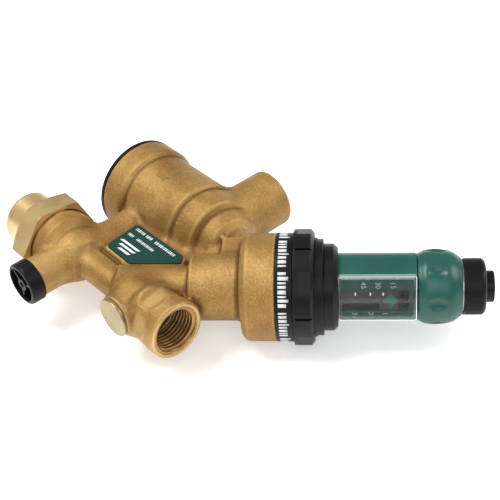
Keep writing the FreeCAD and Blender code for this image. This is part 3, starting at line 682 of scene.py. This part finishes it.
def plate(corners, z0, z1, bevel):
    """A flat plate from a rounded outline, as closed walls with a bevelled top edge."""
    outline = rounded(corners, 6)
    centre = outline.mean(0)
    inner = outline + (centre - outline) / np.linalg.norm(centre - outline, axis=1)[:, None] * bevel
    levels = [(outline, z0), (outline, z1 - bevel), (inner, z1)]
    points = np.concatenate([np.column_stack([o, np.full(len(o), z)]) for o, z in levels])
    n = len(outline)
    faces = sheet_faces(len(levels), n, False, True)
    faces.append(tuple(range(n))[::-1])
    faces.append(tuple(range((len(levels) - 1) * n, len(levels) * n)))
    return points, faces


def bar(x0, y0, x1, y1, z0, z1, lean=0.0):
    """A small printed mark, as a thin closed slab that leans to one side."""
    base = [(x0, y0), (x1, y0), (x1 + lean, y1), (x0 + lean, y1)]
    points = [(x, y, z) for z in (z0, z1) for x, y in base]
    faces = [(3, 2, 1, 0), (4, 5, 6, 7)] + [(i, (i + 1) % 4, (i + 1) % 4 + 4, i + 4) for i in range(4)]
    return np.array(points, float), faces


def build_label():
    corners = [(-19.6, 7.8, 2.0), (-2.2, 7.4, 1.5), (13.2, 22.8, 0.9), (10.6, 26.4, 1.6),
               (-21.5, 26.4, 2.0)]
    parts = [plate(corners, 6.86, 7.98, 0.25)]
    count = len(parts[0][1])
    base, top = 7.9, LABEL_TOP
    for dashes, low, high, thin, step, jump, gap, blanks in (
            (26, 23.0, 24.5, 0.34, 0.18, 7, 0.52, (6, 11, 12)),
            (18, 18.7, 20.1, 0.32, 0.16, 5, 0.50, (4, 5))):
        x = -18.6
        for k in range(dashes):
            wide = thin + step * ((k * jump) % 3)
            if k not in blanks:
                parts.append(bar(x, low, x + wide, high, base, top))
            x += wide + gap
    for k, (a, b) in enumerate([(-18.2, -6.2), (-16.4, -6.6), (-14.4, -7.4)]):
        parts.append(bar(a, 14.3 - 2.2 * k, b, 15.4 - 2.2 * k, base, top, 1.2))
    points, faces = merge(parts)
    index = [0] * count + [1] * (len(faces) - count)
    return make("label", points, faces, "body", ["label_plate"],
                [PAINTS["label_green"], PRINT_WHITE], index, smooth=False)


def lathe(profile, axis, around=128, swell=None):
    """A closed ring turned from a profile of (distance, radius) corners that misses the axis."""
    points = rounded(profile, 5)
    angle = np.linspace(0, 2 * math.pi, around, endpoint=False)[:, None]
    s = np.broadcast_to(points[None, :, 0], (around, len(points)))
    r = np.broadcast_to(points[None, :, 1], s.shape)
    if swell is not None:
        r = swell(s, r, angle)
    made = on_axis(axis, s, r * np.cos(angle), r * np.sin(angle)).reshape(-1, 3)
    area = sum(a[0] * b[1] - a[1] * b[0] for a, b in zip(points, np.roll(points, -1, 0)))
    faces = sheet_faces(around, len(points), True, True)
    return made, faces if area < 0 else [f[::-1] for f in faces]


def curved_bar(axis, radius, thick, s0, s1, a0, a1):
    """A printed mark wrapped on a round band."""
    n = max(2, int(abs(a1 - a0) / 0.03) + 1)
    angle = np.linspace(a0, a1, n)[:, None]
    s = np.array([[s0, s1, s1, s0]])
    r = np.array([[radius - 0.06, radius - 0.06, radius + thick, radius + thick]])
    s, r = np.broadcast_to(s, (n, 4)), np.broadcast_to(r, (n, 4))
    points = on_axis(axis, s, r * np.cos(angle), r * np.sin(angle)).reshape(-1, 3)
    faces = sheet_faces(n, 4, False, True)
    faces += [(3, 2, 1, 0), (4 * n - 4, 4 * n - 3, 4 * n - 2, 4 * n - 1)]
    return points, [f[::-1] for f in faces]


def build_band():
    parts = [lathe([(66.5, 22.12), (66.5, BAND_RADIUS, 0.12), (73.55, BAND_RADIUS, 0.12),
                    (73.55, 22.12)],
                   REGULATOR, 160)]
    count = len(parts[0][1])
    angle = 0.0
    k = 0
    while angle < 2 * math.pi - 0.12:
        wide = (0.052, 0.068, 0.034, 0.080)[(k * 5 + k // 3) % 4]
        gap = 0.10 if k % 8 == 7 else 0.030
        tall = (67.9, 71.3) if (k * 7) % 5 else (67.9, 72.2)
        parts.append(curved_bar(REGULATOR, BAND_RADIUS, 0.02, *tall, angle, angle + wide))
        angle += wide + gap
        k += 1
    points, faces = merge(parts)
    index = [0] * count + [1] * (len(faces) - count)
    return make("band", points, faces, "body", ["label_band"],
                [PAINTS["label_black"], PRINT_WHITE], index)


def build_knob():
    profile = [(124.3, 4.05), (124.3, 13.9, 0.4), (127.4, 15.35, 5.0), (132.0, 15.7, 12.0),
               (138.4, 15.0, 9.0), (142.5, 12.0, 0.8), (142.5, 4.05)]
    dense = []
    points = rounded(profile, 8)
    for a, b in zip(points[:-1], points[1:]):
        n = max(1, int(np.linalg.norm(b - a) / 0.3))
        dense += [tuple(a + (b - a) * k / n) for k in range(n)]
    dense.append(tuple(points[-1]))

    def grip(s, r, angle):
        r = np.array(r, float)
        for k in range(GRIP_COUNT):
            turn = angle - math.radians(GRIP_TURN + 360 / GRIP_COUNT * k)
            turn = (turn + math.pi) % (2 * math.pi) - math.pi
            reach = np.maximum(4.34 - (s - GRIP_AT) ** 2 / 18, 0)
            room = reach ** 2 - (GRIP_CENTRE * np.sin(turn)) ** 2
            floor = GRIP_CENTRE * np.cos(turn) - np.sqrt(np.maximum(room, 0.0))
            floor = np.where((room > 0) & (np.abs(turn) < 1), floor, 30.0)
            h = np.maximum(0.4 - np.abs(r - floor), 0) / 0.4
            r = np.where(r > 11, np.minimum(r, floor) - h * h * 0.1, r)
        return r

    points, faces = lathe(dense, REGULATOR, 360, grip)
    return make("knob", points, faces, "knob", ["adjusting_knob"],
                [PAINTS["green_plastic"]])


# The window looks out of the tube's side: heights along OUT, and across it along DOWN.
TILT = math.radians(21.3)
ALONG = REGULATOR[1]
SIDE = np.cross(UP, ALONG)
OUT = -SIDE * math.cos(TILT) + UP * math.sin(TILT)
DOWN = -SIDE * math.sin(TILT) - UP * math.cos(TILT)


def in_window(height, across, s):
    height, across, s = np.broadcast_arrays(height, across, s)
    return height[..., None] * OUT + across[..., None] * DOWN + s[..., None] * ALONG


def build_lens():
    """A clear box with rounded edges and thin walls, open towards the tube."""
    step = 0.35
    f = Field((8.2, -10.6, 90.8), (16.2, 10.6, 125.0), step)
    x, y, z = f.ticks[0][:, None, None], f.ticks[1][None, :, None], f.ticks[2][None, None, :]

    def shell(half, s0, s1, top, radius):
        dx = x - (top - radius)
        dy = np.abs(y) - (half - radius)
        dz = np.abs(z - (s0 + s1) / 2) - ((s1 - s0) / 2 - radius)
        out = np.sqrt(np.maximum(dx, 0) ** 2 + np.maximum(dy, 0) ** 2 + np.maximum(dz, 0) ** 2)
        return out + np.minimum(np.maximum(np.maximum(dx, dy), dz), 0) - radius

    outer = shell(9.5, 91.9, 123.9, 15.3, 0.9)
    inner = shell(8.4, 93.0, 122.8, 14.2, 0.5)
    tube = np.sqrt(x * x + y * y) - TUBE_RADIUS
    d = np.maximum(np.maximum(outer, -inner), np.maximum(-tube, 9.2 - x))
    f.values = np.broadcast_to(d, f.values.shape).astype(np.float32).copy()
    points, quads = f.skin()
    corner = points[quads]
    normal = np.cross(corner[:, 2] - corner[:, 0], corner[:, 3] - corner[:, 1])
    flatness = np.abs(normal[:, 0]) / np.maximum(np.linalg.norm(normal, axis=1), 1e-9)
    points = in_window(points[:, 0], points[:, 1], points[:, 2])
    faces = [tuple(int(i) for i in q) for q in quads]
    # Faces turned sideways, the walls, take the edge material with its painted sheen.
    return make("lens", points, faces, "body", ["window_lens"],
                [PAINTS["clear_plastic"], CLEAR_EDGE_SHEEN], (flatness < 0.8).astype(int))


def slab_on_window(low, high):
    """A thin closed slab between two (height, across, distance) corners."""
    picks = [(0, 0, 0), (0, 1, 0), (0, 1, 1), (0, 0, 1), (1, 0, 0), (1, 1, 0), (1, 1, 1), (1, 0, 1)]
    ends = np.array([low, high], float)
    flat = np.array([[ends[p[a]][a] for a in range(3)] for p in picks])
    faces = [(3, 2, 1, 0), (4, 5, 6, 7)] + [(i, (i + 1) % 4, (i + 1) % 4 + 4, i + 4) for i in range(4)]
    return in_window(flat[:, 0], flat[:, 1], flat[:, 2]), [f[::-1] for f in faces]


def number(text, across, s, size):
    """A dial number that reads across the window, as a closed mesh."""
    curve = bpy.data.curves.new("number", "FONT")
    curve.body = text
    curve.size = size
    curve.extrude = 0.03
    curve.align_x = "CENTER"
    curve.align_y = "CENTER"
    curve.resolution_u = 3
    text_object = bpy.data.objects.new("number", curve)
    bpy.context.scene.collection.objects.link(text_object)
    bpy.context.view_layer.update()
    mesh = bpy.data.meshes.new_from_object(text_object.evaluated_get(
        bpy.context.evaluated_depsgraph_get()))
    flat = np.array([v.co for v in mesh.vertices], float).reshape(-1, 3)
    faces = [tuple(p.vertices) for p in mesh.polygons]
    bpy.data.objects.remove(text_object)
    bpy.data.curves.remove(curve)
    bpy.data.meshes.remove(mesh)
    return in_window(WINDOW_FLAT + flat[:, 2], across + flat[:, 0], s + flat[:, 1]), faces


def build_scale():
    parts = []
    for text, s in (("15", 114.2), ("30", 108.1), ("45", 102.2)):
        parts.append(number(text, -4.7, s, 3.1))
    for text, s in (("1", 111.0), ("2", 105.2), ("3", 98.6)):
        parts.append(number(text, 7.5, s, 2.9))
    for s in (99.0, 105.0, 110.2):
        parts.append(slab_on_window((14.14, -2.5, s - 0.28), (14.26, -1.3, s + 0.28)))
    points, faces = merge(parts)
    return make("scale_numbers", points, faces, "body", (), [PRINT_WHITE],
                smooth=False)


def build_pointer():
    ring = np.array([(-3.1, 0), (0, -3.5), (3.1, 0), (0, 3.5)])
    levels = [(1.0, 11.45), (1.0, 12.0), (0.82, 12.35)]
    points = []
    for grow, height in levels:
        for s, across in ring * grow:
            points.append((height, SLOT_AT + across, POINTER_AT + s))
    points = np.array(points)
    faces = sheet_faces(3, 4, False, True) + [(3, 2, 1, 0), (8, 9, 10, 11)]
    made = in_window(points[:, 0], points[:, 1], points[:, 2])
    return make("pointer", made, faces, "carrier", ["pressure_pointer"],
                [PAINTS["pointer_green"]], smooth=False)


def smooth_step(t):
    t = np.clip(t, 0, 1)
    return t * t * (3 - 2 * t)


def coil(name, radius, wire, axis, start, end, turns, node, slot, part=(0, 1), unload=None):
    """A round wire coil with closed ends, or the part of it between two shares of its wire.

    unload turns a distance on the evenly wound coil into the distance at rest."""
    n = int(turns * 40 * (part[1] - part[0]))
    t = np.linspace(*part, n)
    ease = np.clip((t * (turns + 1.2) - 0.6) / turns, 0, 1)
    s = start + wire + (end - start - 2 * wire) * ease
    if unload is not None:
        s = unload(s)
    a = 2 * math.pi * (turns + 1.2) * t
    across = np.linspace(0, 2 * math.pi, 10, endpoint=False)[None, :]
    r = radius + wire * np.cos(across)
    points = on_axis(axis, s[:, None] + wire * np.sin(across), r * np.cos(a)[:, None],
                     r * np.sin(a)[:, None]).reshape(-1, 3)
    faces = sheet_faces(n, 10, False, True)
    faces += [tuple(range(10))[::-1], tuple(range(10 * (n - 1), 10 * n))]
    return make(name, points, [f[::-1] for f in faces], None, [node], [PAINTS[slot]])


def stretch(piece, a, b, axis, start, end):
    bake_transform(piece)


def build_range_spring():
    """The spring between the stem and the carrier, wound evenly when it is fully squeezed, in
    two parts of the wire that meet where neither end moves them."""
    foot, still, head = 73.0, 77.5, 106.0
    lift, drop, wire, turns = STEM_LIFT, CARRIER_DROP, 1.1, 6
    rest = np.linspace(71, 108, 2000)
    squeezed = (rest + lift * (1 - smooth_step((rest - foot) / (still - foot)))
                - drop * smooth_step((rest - still) / (head - still)))

    def unload(s):
        return np.interp(s, squeezed, rest)

    wound = SPRING_HEAD - SPRING_FOOT - 2 * wire - lift - drop
    share = (np.interp(still, rest, squeezed) - SPRING_FOOT - lift - wire) / wound
    meet = (share * turns + 0.6) / (turns + 1.2)
    for name, part, a, b, start, end in (
            ("range_coil_foot", (0, meet - 0.0001), "stem", "body", foot, still),
            ("range_coil", (meet + 0.0001, 1), "body", "carrier", still, head)):
        piece = coil(name, 8.3, wire, REGULATOR, SPRING_FOOT + lift, SPRING_HEAD - drop,
                     turns, "range_spring", "spring_steel", part, unload)
        stretch(piece, a, b, REGULATOR, start, end)


def build_diaphragm():
    """The rubber disc, its middle at the stem and its rim clamped in the body."""
    points, faces = lathe([
        (68.5, 2.5), (68.5, 12.9), (66.9, 13.3), (66.9, 15.2), (70.05, 15.8), (70.05, 19.2),
        (71.95, 19.2), (71.95, 14.7), (68.3, 14.2), (68.3, 13.9), (70.0, 13.5), (70.0, 2.5),
    ], REGULATOR)
    piece = make("diaphragm_disc", points, faces, None, ["diaphragm"],
                 [PAINTS["rubber"]], smooth=False)
    stretch(piece, "stem", "body", REGULATOR, 70.01, 70.04)


build_casting()
build_label()
build_band()
build_knob()
build_lens()
build_scale()
build_pointer()
build_range_spring()
build_diaphragm()
for name, radius, wire, start, end, turns, node, a, b in (
        ("vent_coil", 12.15, 0.4, -14.95, -10.45, 2, "vent_return_spring", "piston", "body"),
        ("first_coil", 5.0, 0.35, -17.75, -14.45, 2, "first_check_spring", "first_check", "piston"),
        ("second_coil", 4.2, 0.35, 4.45, 9.35, 3, "second_check_spring", "second_check", "body")):
    piece = coil(name, radius, wire, BARREL, start, end, turns, node, "spring_steel")
    stretch(piece, a, b, BARREL, start + 0.35, end - 0.35)

NODES["spring_carrier"].data.materials[0] = MAROON
# The side plug takes the darker copy of the brass, with painted shade.
NODES["side_plug"].data.materials[0] = SHADED_PLUG_BRASS


# --- Studio --------------------------------------------------------------------------------

# The camera's own directions: right, up and back towards it
RIGHT = np.array((0.6588, 0.7498, -0.0616))
ABOVE = np.array((-0.4437, 0.4534, 0.773))
TOWARD = np.array((0.6075, -0.482, 0.6314))


def floor():
    mesh = bpy.data.meshes.new("floor")
    z = CAD_BOX[0].z - 0.0002
    mesh.from_pydata([(-12, -12, z), (12, -12, z), (12, 12, z), (-12, 12, z)], [], [(0, 1, 2, 3)])
    plane = bpy.data.objects.new("floor", mesh)
    bpy.context.scene.collection.objects.link(plane)
    paint = Paint("floor", (0.92, 0.92, 0.92), 0.0, 0.6)
    paint.color(paint.ramp(paint.noise(3, 2), [(0.3, (0.93, 0.93, 0.93)), (0.7, (0.97, 0.97, 0.97))]))
    paint.shader.inputs["Emission Color"].default_value = (1, 1, 1, 1)
    paint.shader.inputs["Emission Strength"].default_value = 0.42
    mesh.materials.append(paint.material)


def lamp(across, up, toward, size, power):
    """An area light placed by the camera's own directions, in metres from the part's middle."""
    middle = np.array((0.0, 0.03, 0.0))
    place = middle + RIGHT * across + ABOVE * up + TOWARD * toward
    data = bpy.data.lights.new("light", "AREA")
    data.shape = "RECTANGLE"
    data.size, data.size_y = size
    data.energy = power
    light = bpy.data.objects.new("light", data)
    bpy.context.scene.collection.objects.link(light)
    light.location = tuple(place)
    away = Vector(tuple(middle)) - Vector(tuple(place))
    light.rotation_mode = "QUATERNION"
    light.rotation_quaternion = away.to_track_quat("-Z", "Y")


def camera():
    data = bpy.data.cameras.new("camera")
    data.lens = 88.3
    data.sensor_width = 36
    data.clip_start, data.clip_end = 0.01, 60
    cam = bpy.data.objects.new("camera", data)
    bpy.context.scene.collection.objects.link(cam)
    eye = rows(RIGHT * 54.67 + ABOVE * 15.98 + TOWARD * 519.8)
    turn = Matrix([[RIGHT[i], ABOVE[i], TOWARD[i]] for i in range(3)]).to_4x4()
    cam.matrix_world = Matrix.Translation(Vector(eye)) @ turn
    bpy.context.scene.camera = cam


floor()
camera()
world = bpy.data.worlds.new("world")
bpy.context.scene.world = world
world.use_nodes = True
world.node_tree.nodes["Background"].inputs["Color"].default_value = (1.0, 1.0, 1.0, 1)
world.node_tree.nodes["Background"].inputs["Strength"].default_value = 0.38
lamp(-0.55, 0.85, 0.55, (0.7, 0.5), 13)
lamp(0.75, 0.55, 0.35, (0.5, 0.5), 4.5)
lamp(0.0, 0.1, 1.3, (0.9, 0.9), 5)
bpy.context.scene.view_settings.view_transform = "Standard"
